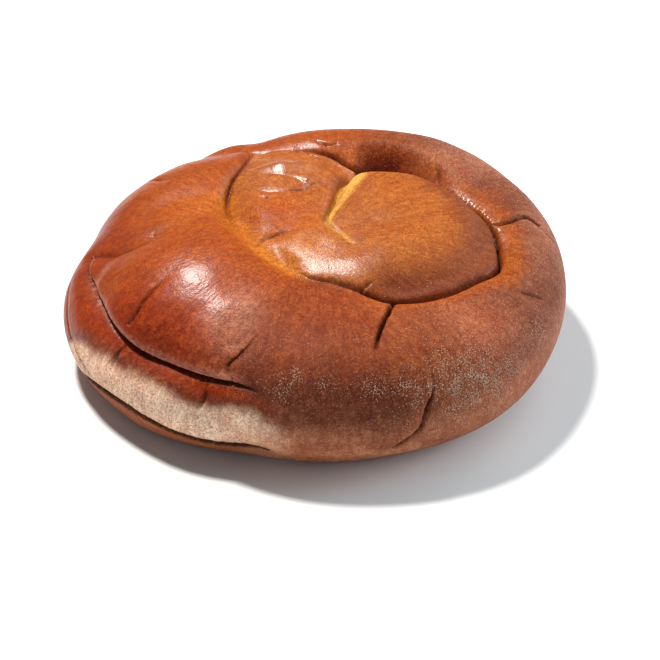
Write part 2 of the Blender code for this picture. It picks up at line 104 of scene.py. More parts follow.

# Folds of the crust, drawn on it from above as x, y or on its wall as bearing in degrees and
# height. depth: how far the fold sinks, along it; left and right: how wide the dough rolls over
# into it on either side; crisp: 1 where two rolls meet in a sharp crease, 0 for a soft dip;
# slit: the narrow crack at its bottom, along it, and slit_width its half width; dark: half width of
# its dark line of painted shade, as a share of slit_width; ragged: how much more than others its
# edges wander.
FOLDS = {
    "coil seam, front": dict(
        view="above",
        line=[(79, 5), (79, -9), (75, -17), (67, -22), (55, -30), (43, -34), (32, -35), (23, -32),
              (12, -28), (6, -26), (-1.6, -24), (-7.5, -20), (-12, -15)],
        depth=(5, 6, 7, 8, 8, 8, 5.5, 2, 1, 0.8, 0.8),
        left=(7, 7, 7, 8, 8, 8, 8, 8, 8, 8, 9),
        right=(7, 6, 6, 5, 4, 4, 4, 4.5, 5, 5, 5),
        crisp=(1, 1, 1, 1, 1, 1, 1, 1, 0.8, 0.5, 0.2),
        slit=(2, 2.5, 2.5, 2.5, 2.5, 2.5, 2.2, 1.5, 1.2, 0.8, 0), slit_width=0.9),
    "coil seam, right": dict(
        view="above",
        line=[(52, 60), (56, 52), (64, 42), (70, 33), (74, 25), (77.5, 15), (79, 5)],
        depth=(8, 5, 2, 1.2, 1.2, 2.5, 4.5),
        left=(10, 5, 2.4, 2.2, 2.2, 3, 6), right=(8, 5, 4, 4, 4, 5, 7),
        crisp=1, slit=(1.5, 2, 2, 2, 2, 2, 2), slit_width=0.9),
    "coil seam, left": dict(
        view="above",
        line=[(-12, -15), (-18, -11), (-23.5, -6), (-29.5, 2), (-35.5, 14), (-39, 27), (-40, 38),
              (-38, 52), (-33, 66), (-30, 79)],
        depth=(2, 2.5, 3.2, 4.2, 5, 4.5, 3.5, 3, 2),
        left=(11, 13, 14, 13, 10, 8, 7, 7, 6), right=(7, 9, 12, 12, 9, 7, 6, 6, 6),
        crisp=(0, 0, 0, 0.1, 0.7, 0.9, 0.9, 0.9, 0.8),
        slit=(0, 0, 0, 0, 0.8, 1.3, 1.3, 0.8, 0.4), slit_width=0.9),
    "coil seam, back": dict(
        view="above",
        line=[(-30, 79), (-17, 80), (-8, 79), (4, 77), (15, 74), (21, 73), (29, 73), (37, 71),
              (44, 67), (52, 60)],
        depth=(2.5, 1.2, 1, 1.2, 2, 6, 14, 14, 12, 9),
        left=(6, 6, 6, 8, 11, 13, 14, 13, 11, 9), right=(6, 6, 6, 7, 10, 12, 13, 12, 11, 10),
        crisp=0.7, slit=(0.6, 0, 0, 0.8, 2, 2, 2, 2, 2, 2), slit_width=1.1),
    "stretched dough beside the knob": dict(
        view="above",
        line=[(17.5, 57), (13.5, 50), (11, 45), (9.3, 39), (8.5, 33), (5, 19), (4.3, 11), (7, 5),
              (15.5, -5.5)],
        depth=(4, 4, 4, 4, 3.5, 2.5, 1.2, 0.5, 0.3), left=4,
        right=(3.5, 3.5, 3, 3, 3, 4, 5, 6, 6),
        crisp=0.6, slit=(0, 0, 0.3, 0.8, 1.2, 1.2, 0.8, 0, 0), slit_width=0.9),
    "fold in the left lobe": dict(
        view="above", line=[(-26, -5), (-23, 1), (-17, 5), (-10, 6)],
        depth=(1, 1.5, 1.5, 0.6), left=9, right=7,
        crisp=0.8, slit=(0.3, 0.8, 0.8, 0), slit_width=1.1),
    "wrinkle in the left lobe": dict(
        view="above", line=[(-27, 37), (-21, 34), (-15, 34), (-5.5, 36), (-2.5, 41), (3.5, 43)],
        depth=(0.5, 1.2, 1, 1.6, 1.2, 0.6), left=6, right=4,
        crisp=0.8, slit=(0, 0, 0.2, 0.8, 0.8, 0), slit_width=0.9),
    "short wrinkle in the left lobe": dict(
        view="above", line=[(-25.5, 31), (-22, 29), (-19, 28)],
        depth=(0.4, 0.9, 0.4), left=3, right=3,
        crisp=0.8, slit=(0, 0.4, 0), slit_width=0.9),
    "upper wrinkle of the left lobe": dict(
        view="above", line=[(-24.5, 51), (-16.5, 48), (-9, 46), (-5, 43), (0.5, 46)],
        depth=(0.6, 1.4, 1.5, 1.2, 0.4), left=6, right=6,
        crisp=0.6, slit=(0, 0, 0, 0.4, 0.2), slit_width=0.9),
    "back crack": dict(
        view="above", line=[(-11, 76), (-7, 73), (-4, 75), (0, 73), (4, 71)],
        depth=(0.6, 1, 1, 1, 0.6), left=3, right=3,
        crisp=0.8, slit=(0.5, 1.5, 1.2, 1.5, 0.5), slit_width=0.9),
    "thin crack over the left lobe": dict(
        view="above", line=[(0, 84), (5, 81.5), (9, 82)],
        depth=(0.5, 0.8, 0.5), left=3, right=3,
        crisp=0.8, slit=(0.3, 1, 0.4), slit_width=0.9),
    "curl of dough in the hollow": dict(
        view="above", line=[(19.5, 77), (18.5, 71), (19, 65), (17.5, 60)],
        depth=(0.5, 1.5, 2, 1), left=4, right=4,
        crisp=0.8, slit=(0.5, 1.5, 1.5, 0.8), slit_width=0.9),
    "nick behind the knob": dict(
        view="above", line=[(54, 68), (55.5, 63), (56, 58)],
        depth=(0.4, 1, 0.6), left=3, right=3,
        crisp=0.8, slit=(0.3, 1.2, 0.5), slit_width=0.9),
    "far wrinkle of the ring": dict(
        view="above", line=[(65, 75), (67.5, 68), (69, 61)],
        depth=(0.3, 0.8, 0.3), left=5, right=4,
        crisp=0.6, slit=(0, 0.3, 0), slit_width=1.0),
    "right wrinkle of the ring": dict(
        view="above", line=[(96, 22), (101, 21), (105, 19)],
        depth=(0.3, 0.8, 0.5), left=4, right=4,
        crisp=0.7, slit=(0.3, 0.5, 0.3), slit_width=1.0),
    "far left wrinkle": dict(
        view="above", line=[(-76, 61), (-72, 58), (-67, 52)],
        depth=(0.4, 1.4, 0.4), left=4, right=4,
        crisp=0.5, slit=(0.2, 0.6, 0), slit_width=0.9),
    "wrinkle of the back ring": dict(
        view="above", line=[(-77, 10), (-71, 8), (-64, 8)],
        depth=(0.6, 1.7, 0.5), left=6, right=5,
        crisp=0.5, slit=(0, 0.3, 0), slit_width=1.0),
    "fold over the back ring": dict(
        view="above",
        line=[(-25, -6), (-39, 0), (-54, 4), (-66, 4), (-78, 3), (-89, 8), (-98, 14)],
        depth=(0.8, 0.8, 0.8, 1, 1.6, 2.5, 3), left=14, right=12,
        crisp=0.5, slit=(0, 0, 0, 0, 0.5, 0.8, 0.8), slit_width=1.1),
    "front crack": dict(
        view="above", line=[(33, -36), (30.5, -44), (28, -52), (26.5, -57), (24.5, -67)],
        depth=(2, 1.5, 1.5, 1.2, 0.5), left=5, right=5,
        crisp=1, slit=(2, 3.5, 3.5, 3, 1), slit_width=0.9),
    "branch of the front crack": dict(
        view="above", line=[(19.5, -30), (21, -29), (23.6, -27.3)],
        depth=(1, 0.6, 0.2), left=4, right=3,
        crisp=1, slit=(1, 1, 0), slit_width=0.9),
    "ring crack": dict(
        view="above", line=[(78, 19), (84, 20), (92, 26), (98, 24)],
        depth=(0.5, 1.5, 1.5, 0.8), left=6, right=6,
        crisp=1, slit=(1, 2, 3, 2), slit_width=1.0),
    "left crease of the front lobe": dict(
        view="above", line=[(-62, -27), (-68, -32), (-72.5, -35), (-75, -38), (-78, -40)],
        depth=(0.3, 0.8, 1.3, 1.6, 1), left=7, right=4,
        crisp=0.8, slit=(0, 0.4, 0.6, 1, 0.8), slit_width=0.9),
    "gap under the front lobe": dict(
        view="wall",
        line=[(172, 46), (178, 44.5), (184, 44), (190, 43.5), (200, 42), (209, 40), (216, 38.8),
              (225, 38.6), (233, 38.8), (239, 39.6), (245, 40.6), (250, 41), (253, 40.5)],
        depth=(3, 5, 6, 6, 6.5, 6.5, 6.5, 6, 5, 5, 4, 3, 1), left=5.5, right=8,
        crisp=1, slit=(1, 3, 5, 6, 6, 6, 6, 6, 5, 4, 2.5, 1.5, 0.5), slit_width=0.85, dark=1.3),
    "tail split near the base": dict(
        view="wall",
        line=[(196, 13), (203, 16), (210, 17), (217, 16.5), (224, 15), (231, 13), (238, 12),
              (244, 12), (250, 12.5), (256, 12.5)],
        depth=(0.6, 0.8, 0.8, 0.8, 0.8, 0.8, 0.8, 0.8, 0.8, 0.4), left=2.5, right=3,
        crisp=1, slit=(1, 4, 5, 5.5, 5.5, 5.5, 5.5, 5.5, 5, 2.5), slit_width=0.9,
        dark=2.0, ragged=1.3),
    "right crease of the front lobe": dict(
        view="wall",
        line=[(248, 55), (246.3, 51.5), (244.2, 48.5), (242.5, 46), (243.5, 44), (245, 42.3)],
        depth=(0.3, 0.9, 1.3, 1.5, 1), left=2.5, right=6,
        crisp=0.8, slit=(0, 0.6, 1.2, 1.4, 1.2, 0.8), slit_width=0.8),
    "short crack of the tail": dict(
        view="wall", line=[(208.5, 39), (208.3, 36), (208.8, 32), (209.2, 29)],
        depth=(0.6, 1, 1, 0.4), left=4, right=3,
        crisp=0.8, slit=(0.5, 1.5, 1.2, 0.3), slit_width=0.9),
    "nick of the tail": dict(
        view="wall", line=[(237.5, 37), (238, 33), (237.6, 29)],
        depth=(0.6, 0.9, 0.4), left=4, right=3,
        crisp=0.8, slit=(0.5, 1, 0.3), slit_width=0.9),
    "wrapped edge of the tail": dict(
        view="wall", line=[(174, 37), (181, 33), (188, 27), (195, 22), (202, 19)],
        depth=(0.5, 1.2, 1.2, 1, 0.5), left=4, right=6,
        crisp=0.8, slit=(0.3, 0.8, 0.8, 0.6, 0.2), slit_width=1.0),
    "right wall crack": dict(
        view="wall", line=[(304, 53), (302, 45), (301, 40), (299, 36), (297, 27)],
        depth=(0.3, 0.8, 0.8, 1.2, 0.6), left=7, right=5,
        crisp=0.8, slit=(0.2, 0.3, 0.8, 2.5, 1.5), slit_width=0.9),
    "low right crack": dict(
        view="wall", line=[(297, 27), (294, 22), (290, 16)],
        depth=(0.6, 1, 0.5), left=4, right=4,
        crisp=1, slit=(1.5, 2, 0.6), slit_width=0.9),
    "right dimple": dict(
        view="wall", line=[(341, 56), (344, 52), (346, 49)],
        depth=(0.4, 1.5, 1), left=8, right=6,
        crisp=0.8, slit=(0, 0.6, 0.6), slit_width=1.0),
}

FOLD_STEPS = 4         # points between two of a fold's line
LINE_START = 200       # mm from the base, or from the middle, where a fold's line is cast from
FOLD_REACH = 40        # spots farther than this from a fold's line are left out
RAGGED = 0.45          # how far the edges of the cracks wander, and over what length
RAGGED_SIZE = 2.2
# the dark line of a crack is painted shade
CRACK_SHADE_WIDTH = 0.8       # half width of a crack's dark line, as a share of its slit's

# Small puckers in the lip of the ring along the right seam.
PUCKER_LENGTH = 2.8    # from one to the next
PUCKER_DEPTH = 0.5
PUCKER_REACH = 4.0     # how far from the seam they fade out
PUCKER_FADE = 8        # how fast they set in from the seam's ends
PUCKER_DRIFT = (2.5, 7, 10)    # how unevenly they are spaced: how much, over what length, seed
PUCKER_MEAN = 0.7              # how deep they are on average
PUCKER_VARIED = (0.9, 5, 11)   # how much that varies, over what length, seed

# Where the dough has risen more, or sunk: middle x, y, reach in x and y, rise.
SWELLS = [(-86, 12, 14, 10, 1.5), (-33, -54, 12, 12, -2.6), (-38, -45, 10, 10, 1.0)]
SWELL_FULL = 60        # height from which the dough rises fully; it fades to none at the base
UNEVEN = (0.45, 15, 7)         # the skin all over: how far it rises, over what length, seed
WRINKLES = (3.5, 7, 8)         # where it has wrinkled more: the same
WRINKLED = ((-12, 60, 62), (17, 17, 20))   # the middle and reach of that place
WRINKLE_LONG = (0.5, 1, 1)     # its wrinkles are twice as long sideways
SEED_STEP = 31.7       # how far apart in the noise two seeds are
FLOW_RADIUS = 80       # the skin's streaks run outward from the middle of the loaf; their width
FLOW_SQUEEZE = 0.2     # is true at this radius, and they are this much squeezed along
FINE_REACH = (3.9, 2.6)        # in each round, the skin's edges this near to a fold are halved
FINE_MARGIN = 10       # spots farther than this from a fold's line are left out
FINE_PASSES = 4        # times the new points are smoothed


def curve_through(points, steps):
    """Smooth Catmull-Rom curve through the points, with the given steps between two of them."""
    rows = np.array(points, float)
    rows = np.vstack([2 * rows[0] - rows[1], rows, 2 * rows[-1] - rows[-2]])
    out = []
    for i in range(1, len(rows) - 2):
        a, b, c, d = rows[i - 1:i + 3]
        for t in np.linspace(0, 1, steps, endpoint=False):
            out.append(0.5 * (2 * b + (c - a) * t + (2 * a - 5 * b + 4 * c - d) * t * t
                              + (3 * b - a - 3 * c + d) * t ** 3))
    out.append(rows[-2])
    return np.array(out)


def rounded_end(last, before):
    """Sections that close a rope with a rounded end beyond its last row."""
    ahead = last[:3] - before[:3]
    ahead[2] = 0
    ahead /= np.linalg.norm(ahead)
    out = []
    for angle in np.radians(END_ANGLES):
        middle = last[:3] + ahead * last[3] * math.sin(angle)
        out.append(np.concatenate([middle, last[3:] * math.cos(angle)]))
    return out


def bridged(bm, rings):
    """Faces between each ring of points and the next, and across the first and the last."""
    for one, two in zip(rings, rings[1:]):
        for k in range(len(one)):
            n = (k + 1) % len(one)
            bm.faces.new((one[k], one[n], two[n], two[k]))
    bm.faces.new(rings[0])
    bm.faces.new(rings[-1][::-1])


def add_rope(bm, rows, on_board=True):
    """One rope of dough with an oval section; on the board its lower half reaches below it."""
    path = curve_through(rows, STEPS)
    path = np.vstack([rounded_end(path[0], path[1])[::-1], path, rounded_end(path[-1], path[-2])])
    heading = np.gradient(path[:, :2], axis=0)
    heading /= np.linalg.norm(heading, axis=1)[:, None]
    sections = []
    for (x, y, z, wide, high), (ax, ay) in zip(path, heading):
        deep = high * (z + SINK) / z if on_board else high
        section = []
        for k in range(AROUND):
            turn = 2 * math.pi * k / AROUND
            across = wide * math.cos(turn)
            rise = math.sin(turn) * (high if k < AROUND / 2 else deep)
            section.append(bm.verts.new(Vector((x - ay * across, y + ax * across, z + rise))))
        sections.append(section)
    bridged(bm, sections)


def add_mound(bm, middle, radii, fullness):
    """A rounded mound of dough, fuller than an ellipsoid when fullness is over 2."""
    around, down = MOUND_POINTS
    made = bmesh.ops.create_uvsphere(bm, u_segments=around, v_segments=down, radius=1)
    for vert in made["verts"]:
        for axis in range(3):
            value = vert.co[axis]
            value = math.copysign(abs(value) ** (2 / fullness), value)
            vert.co[axis] = middle[axis] + radii[axis] * value


def add_knob(bm):
    """The knob: a low cushion whose flat top ends in a shoulder, over a wall of its own."""
    outline = curve_through(KNOB[-2:] + KNOB + KNOB[:3], KNOB_STEPS)
    outline = outline[2 * KNOB_STEPS:-3 * KNOB_STEPS]
    shoulder, foot, fullness = outline[:, :3], outline[:, 3:6], outline[:, 6]
    middle = shoulder.mean(axis=0)
    rows = []
    for share in KNOB_TOP_RINGS:
        row = middle + (shoulder - middle) * share
        row[:, 2] = shoulder[:, 2] + KNOB_CROWN * (1 - share ** 2)
        rows.append(row)
    for share in np.linspace(0, 1, KNOB_WALL_RINGS):
        down = 1 - (1 - share ** fullness) ** (1 / fullness)
        row = shoulder + (foot - shoulder) * share
        row[:, 2] = shoulder[:, 2] + (foot - shoulder)[:, 2] * down
        rows.append(row)
    rows.append(foot * (1, 1, 0) + (0, 0, KNOB_SUNK))
    bridged(bm, [[bm.verts.new(Vector(spot)) for spot in row] for row in rows])


def applied(piece):
    """Replace the mesh of a piece with what its modifiers make of it."""
    bpy.context.view_layer.update()
    graph = bpy.context.evaluated_depsgraph_get()
    done = bpy.data.meshes.new_from_object(piece.evaluated_get(graph))
    piece.modifiers.clear()
    piece.data = done


def fused_dough():
    """The ropes and mounds fused into one rounded skin, as an object, in millimetres."""
    bm = bmesh.new()
    add_rope(bm, OUTER_RING)
    add_rope(bm, TUCKED_TAIL)
    add_rope(bm, FOOT)
    add_rope(bm, FAR_TIP, on_board=False)
    for middle, radii, fullness in MOUNDS:
        add_mound(bm, middle, radii, fullness)
    add_knob(bm)
    bmesh.ops.recalc_face_normals(bm, faces=bm.faces)
    mesh = bpy.data.meshes.new("loaf_crust")
    bm.to_mesh(mesh)
    bm.free()
    loaf = bpy.data.objects.new("loaf_crust", mesh)
    bpy.context.scene.collection.objects.link(loaf)
    fuse = loaf.modifiers.new("fuse", "REMESH")
    fuse.mode = "VOXEL"
    fuse.voxel_size = VOXEL
    smooth = loaf.modifiers.new("smooth", "SMOOTH")
    smooth.factor = SMOOTHING_SHARE
    smooth.iterations = SMOOTHING
    applied(loaf)
    return loaf


def spots_of(mesh):
    """The mesh's points as rows of x, y, z."""
    spots = np.empty(len(mesh.vertices) * 3)
    mesh.vertices.foreach_get("co", spots)
    return spots.reshape(-1, 3)


def laid_on_crust(skin, view, points):
    """The points of a fold on the dough, where a line from above or from outside meets it."""
    out = []
    for one, two in points:
        if view == "above":
            start, ahead = Vector((one, two, LINE_START)), Vector((0, 0, -1))
        else:
            bearing = math.radians(one)
            ahead = Vector((-math.cos(bearing), -math.sin(bearing), 0))
            start = Vector((0, 0, two)) - LINE_START * ahead
        out.append(tuple(skin.ray_cast(start, ahead)[0]))
    return curve_through(out, FOLD_STEPS)


def fold_lines(mesh):
    """Each fold's line on the dough."""
    skin = BVHTree.FromPolygons([vert.co for vert in mesh.vertices],
                                [face.vertices for face in mesh.polygons])
    return {name: laid_on_crust(skin, fold["view"], fold["line"]) for name, fold in FOLDS.items()}


def along_line(spots, outward, line, reach=FOLD_REACH):
    """Distance of each spot from the line, how far along it lies, and on which side."""
    distance = np.full(len(spots), FAR_AWAY)
    progress = np.zeros(len(spots))
    side = np.zeros(len(spots))
    near = np.all((spots > line.min(0) - reach) & (spots < line.max(0) + reach), axis=1)
    rows = np.nonzero(near)[0]
    close, up = spots[rows], outward[rows]
    best, part, hand = distance[rows], progress[rows], side[rows]
    steps = np.diff(line, axis=0)
    lengths = np.linalg.norm(steps, axis=1)
    starts = np.concatenate([[0], np.cumsum(lengths)])
    for start, step, length, before in zip(line, steps, lengths, starts):
        share = np.clip((close - start) @ step / length ** 2, 0, 1)
        offset = close - start - share[:, None] * step
        away = np.linalg.norm(offset, axis=1)
        nearer = away < best
        turned = np.cross(np.broadcast_to(step, offset.shape), offset)
        best[nearer] = away[nearer]
        part[nearer] = (before + share[nearer] * length) / starts[-1]
        hand[nearer] = np.sum(turned * up, axis=1)[nearer]
    distance[rows], progress[rows], side[rows] = best, part, hand
    return distance, progress, side


def refine_near(loaf, lines):
    """Halve the skin's edges near the folds, and smooth what that makes."""
    for reach in FINE_REACH:
        mesh = loaf.data
        spots = spots_of(mesh)
        up = np.zeros_like(spots)
        near = np.zeros(len(spots), bool)
        for line in lines.values():
            near |= along_line(spots, up, line, FINE_MARGIN)[0] < reach
        bm = bmesh.new()
        bm.from_mesh(mesh)
        bm.verts.ensure_lookup_table()
        edges = [edge for edge in bm.edges
                 if near[edge.verts[0].index] and near[edge.verts[1].index]]
        count = len(bm.verts)
        bmesh.ops.subdivide_edges(bm, edges=edges, cuts=1, use_grid_fill=True)
        bm.verts.ensure_lookup_table()
        fresh = set(bm.verts[count:])
        fresh.update(vert for edge in edges if edge.is_valid for vert in edge.verts)
        for _ in range(FINE_PASSES):
            bmesh.ops.smooth_vert(bm, verts=list(fresh), factor=SMOOTHING_SHARE,
                                  use_axis_x=True, use_axis_y=True, use_axis_z=True)
        bm.to_mesh(mesh)
        bm.free()


def rolled_over(share, crisp):
    """Share of a fold's depth at this share of its width: round rolls meeting in a crease."""
    share = np.clip(share, 0, 1)
    rolls = 1 - np.sqrt(np.clip(1 - (1 - share) ** 2, 0, 1))
    dip = 0.5 * (1 + np.cos(np.pi * share))
    return crisp * rolls + (1 - crisp) * dip


def along(values, progress):
    """A value given along a fold, or one for the whole of it, at each progress."""
    values = np.atleast_1d(values)
    if len(values) == 1:
        return values[0]
    return np.interp(progress, np.linspace(0, 1, len(values)), values)


def wobble(spots, size, seed=0):
    """Smooth noise from about -1 to 1 at each spot, with lumps of this many millimetres."""
    places = spots / size + seed * SEED_STEP
    return np.array([noise.noise(place) for place in places.tolist()])


def uneven(spots, far, size, seed):
    """A wobble of this many millimetres."""
    return far * wobble(spots, size, seed)


def puckers(spots, line, distance, progress, side):
    """Depth of the small puckers on the left of a seam's line."""
    length = np.sum(np.linalg.norm(np.diff(line, axis=0), axis=1))
    phase = 2 * np.pi * progress * length / PUCKER_LENGTH
    wave = np.sin(phase + uneven(spots, *PUCKER_DRIFT))
    wave *= PUCKER_MEAN + uneven(spots, *PUCKER_VARIED)
    ends = np.clip(PUCKER_FADE * progress * (1 - progress), 0, 1)
    fade = np.exp(-(distance / PUCKER_REACH) ** 2) * ends
    return np.where(side > 0, PUCKER_DEPTH * wave * fade, 0)


def press_folds(loaf, lines):
    """Press the seams, folds and cracks into the crust: down from above, inward on the wall."""
    mesh = loaf.data
    spots = spots_of(mesh)
    count = len(spots)
    up = np.tile([0.0, 0.0, 1.0], (count, 1))
    out = spots * (1, 1, 0)
    out /= np.maximum(np.linalg.norm(out, axis=1), TINY)[:, None]
    outward = {"above": up, "wall": out}
    depth = {"above": np.zeros(count), "wall": np.zeros(count)}
    nearness = {}
    ragged = RAGGED * wobble(spots, RAGGED_SIZE)
    for name, fold in FOLDS.items():
        view = fold["view"]
        distance, progress, side = along_line(spots, outward[view], lines[name])
        width = np.where(side > 0, along(fold["left"], progress), along(fold["right"], progress))
        profile = rolled_over(distance / width, along(fold["crisp"], progress))
        groove = along(fold["depth"], progress) * profile
        depth[view] = np.maximum(depth[view], groove)
        slit = along(fold["slit"], progress)
        off = distance + np.sign(side) * ragged * fold.get("ragged", 1)
        depth[view] += slit * np.exp(-(off / fold["slit_width"]) ** 2)
        nearness[name] = (distance, progress, side)
    depth["above"] += puckers(spots, lines["coil seam, right"], *nearness["coil seam, right"])
    for view in depth:
        spots = spots - outward[view] * depth[view][:, None]
    spots[:, 2] = np.maximum(spots[:, 2], 0)
    mesh.vertices.foreach_set("co", spots.ravel())
    mesh.update()
    return nearness


def swell(loaf):
    """Raise or sink the dough where it has risen more or less."""
    spots = spots_of(loaf.data)
    rise = np.zeros(len(spots))
    for x, y, wide, long, up in SWELLS:
        rise += up * np.exp(-((spots[:, 0] - x) / wide) ** 2 - ((spots[:, 1] - y) / long) ** 2)
    rise += uneven(spots, *UNEVEN)
    rise += uneven(spots * WRINKLE_LONG, *WRINKLES) * blot(spots, *WRINKLED)
    spots[:, 2] += rise * np.clip(spots[:, 2] / SWELL_FULL, 0, 1)
    loaf.data.vertices.foreach_set("co", spots.ravel())
    loaf.data.update()


def to_solid_frame(loaf):
    """Move the loaf from the drawing to the solid's frame, in metres."""
    spots = spots_of(loaf.data)
    spots = (spots - (OUTLINE_MIDDLE[0], OUTLINE_MIDDLE[1], 0)) * MM
    loaf.data.vertices.foreach_set("co", spots.ravel())
    loaf.data.update()


# Colours of the crust, linear red, green and blue, with painted shade, highlights and reflections among
# them.
TONES = {
    "ring": (0.28, 0.055, 0.006),
    "back left": (0.305, 0.058, 0.003),
    "left edge": (0.235, 0.031, 0.002),
    "lobe": (0.315, 0.039, 0.003),
    "lobe lower": (0.20, 0.020, 0.003),
    # painted reflection: a pale lilac sheen along the rim of the front left lobe, over the gap
    "lobe rim": (0.50, 0.17, 0.11),
    # flour dust and a painted sheen
    "dusty": (0.40, 0.17, 0.11),
    "front top": (0.225, 0.043, 0.010),
    "front right": (0.28, 0.062, 0.017),
    # painted shade: the front wall, darkened where it turns away from the light
    "front wall": (0.122, 0.029, 0.015),
    "low front": (0.345, 0.120, 0.063),
    "foot": (0.47, 0.138, 0.050),
    "low tan": (0.60, 0.25, 0.128),
    "right inner": (0.29, 0.062, 0.006),
    "right rose": (0.36, 0.100, 0.046),
    "right": (0.165, 0.046, 0.023),
    "right wall": (0.28, 0.098, 0.058),
    "coil": (0.33, 0.090, 0.016),
    "left lobe": (0.35, 0.068, 0.006),
    "gold": (0.365, 0.100, 0.005),
    "coil front": (0.42, 0.125, 0.014),
    "stretched": (0.63, 0.33, 0.066),
    "pale gold": (0.47, 0.15, 0.022),
    # painted shade: the knob's steep wall, darker still on its right
    "knob wall": (0.165, 0.037, 0.014),
    "knob right": (0.20, 0.054, 0.020),
    # painted shade of the deep hollow behind the knob, and of the torn edge beside the pale strip
    "hollow": (0.105, 0.009, 0.002),
    # painted light: a lit curl of dough on the ring's shaded inner wall
    "curl": (0.55, 0.17, 0.06),
    # painted highlight: a glow of light on the ring's back left
    "glow": (0.42, 0.115, 0.014),
    "plum": (0.19, 0.048, 0.024),
    "pale band": (0.93, 0.63, 0.46),
    # the pale band painted lighter at the front, where it faces the light
    "pale band, front": (0.96, 0.69, 0.52),
    "tail top": (0.26, 0.030, 0.003),
    "base lip": (0.36, 0.12, 0.056),
    # painted shade: the dark line down every crack, seam and gap
    "crack": (0.05, 0.012, 0.004),
}

# Top of the tail's pale band: bearing in degrees and height.
BAND_TOP = [
    (184, 13), (187, 18), (191, 25.5), (195, 29.5), (200, 31.4), (208, 32.2), (222, 32.6),
    (227, 31.7), (232, 30.6), (237, 29.1), (243, 30.5), (247, 33), (252, 34), (258, 31), (264, 28)]

# How the edges of the crust's zones wander: how far, over what length, and the noise's seed.
HEIGHT_WANDER = [(5, 16, 0), (2.5, 5, 1), (0.6, 2.2, 2)]
BEARING_WANDER = [(5, 22, 3), (3, 6, 4)]        # degrees, the rest mm
COIL_WANDER = [(4, 7, 5)]
BAND_WANDER = [(1.4, 9, 12), (0.8, 2.5, 13)]

# Where a zone of the crust lies is given by rows that multiply. A row is one of these:
#   (area,)                       an area that is named here, or in measures_of
#   (measure, start, end)         0 where the measure is at its start, 1 from its end on
#   ("patch", (middle, reach))    a soft patch round a middle, or several
#   ("beside", fold, reach)       a soft strip on both sides of a fold
AREAS = {
    "ring": [("into the coil", 1, -2)],
    "coil": [("into the coil", -1, 3)],
    "front": [("bearing", 226, 256), ("bearing", 355, 300)],
    "tail": [("bearing", 176, 190), ("bearing", 266, 244)],
    "knob": [("coil",), ("x", 18, 34), ("y", 52, 38)],
}
RIGHT_SIDE = ([("bearing", 285, 330)], [("bearing", 88, 56)])          # their sum
# the steep wall of the knob, where its painted shade goes
STEEP = ([("facing up", 0.985, 0.70)], [("into the coil", 24, 4)])     # the larger of the two
PUCKERED_LIP = [("left of coil seam, right",), ("away from coil seam, right", 6, 2.5)]

# Strip of pale stretched dough beside the knob.
STRIP = "stretched dough beside the knob"
STRIP_WIDTH = [(0, 8), (0.15, 11), (0.3, 10), (0.5, 6), (0.7, 2.6), (1, 1.2)]   # along it, mm
STRIP_LEFT_WIDTH = 0.8       # on the side away from the knob
STRIP_EDGE = (1.15, 0.75)    # shares of its width between which it fades in
STRIP_END = (0.7, 0.8)       # how far along it dims
STRIP_DIMMED = 0.7           # and how much
